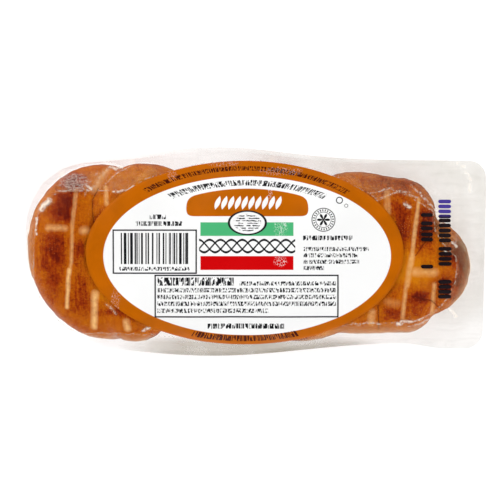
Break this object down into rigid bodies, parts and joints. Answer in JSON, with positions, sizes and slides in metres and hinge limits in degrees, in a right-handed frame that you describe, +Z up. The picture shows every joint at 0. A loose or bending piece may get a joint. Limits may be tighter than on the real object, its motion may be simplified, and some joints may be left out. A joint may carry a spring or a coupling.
{
  "type": "smoked braided mozzarella in a vacuum pouch",
  "caption": "Smoked, plaited cheese shrunk into a clear vacuum pouch with a square end tab and an oval label on its upper face.",
  "frame": {"origin": "under the middle of the pouch's outline, on the surface that the pack lies on", "axes": "+X along the braid, from its folded end towards the pouch's square tab; +Y across the label, towards the top of its print; +Z up, out of the label"},
  "size_m": [0.1719, 0.0776, 0.0313],
  "materials": {
    "film": "clear, glossy and faintly milky vacuum film",
    "cheese": "smoked skin, orange to red brown, with pale rack marks, slightly greasy",
    "label": "white gloss-coated sticker with an orange brown border",
    "ink": "blackish purple printing ink"
  },
  "bodies": {
    "root": {"pack": "film", "label": "label"}
  },
  "joints": []
}
